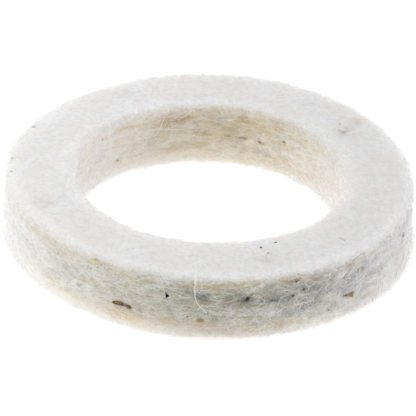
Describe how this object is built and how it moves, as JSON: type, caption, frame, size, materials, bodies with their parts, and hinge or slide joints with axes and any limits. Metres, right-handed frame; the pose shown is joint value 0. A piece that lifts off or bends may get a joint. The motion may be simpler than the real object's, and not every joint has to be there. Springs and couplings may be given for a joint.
{
  "type": "felt ring",
  "caption": "Flat ring of pressed wool felt with a wide bore and square, fuzzy cut edges, used as a polishing face or pad on a wheel or drum.",
  "frame": {"origin": "centre of the ring's lower face, on its axis", "axes": "+Z along the ring's axis, from the lower face to the upper face; +X and +Y in the lower face, with +X towards the right-hand side and -Y towards the side with the caught bits of straw and husk"},
  "size_m": [0.06, 0.06, 0.01],
  "materials": {
    "wool_felt": "pressed off-white wool felt, matt and fuzzy",
    "straw": "dry brown straw, matt",
    "husk": "dry orange-brown seed husk, slightly glossy",
    "chaff": "dry yellow chaff, matt",
    "dark_seed": "dark seed coat, satin",
    "bark": "black bark chip, matt"
  },
  "bodies": {
    "root": {"felt_ring": "wool_felt", "straw_sliver": "straw", "seed_husk": "husk", "bran_flake": "husk", "chaff_flake": "chaff", "bark_chip": "bark", "seed_speck": "dark_seed", "burr_tip": "dark_seed", "oval_seed": "dark_seed", "bore_chaff": "straw", "bore_seed": "dark_seed"}
  },
  "joints": []
}
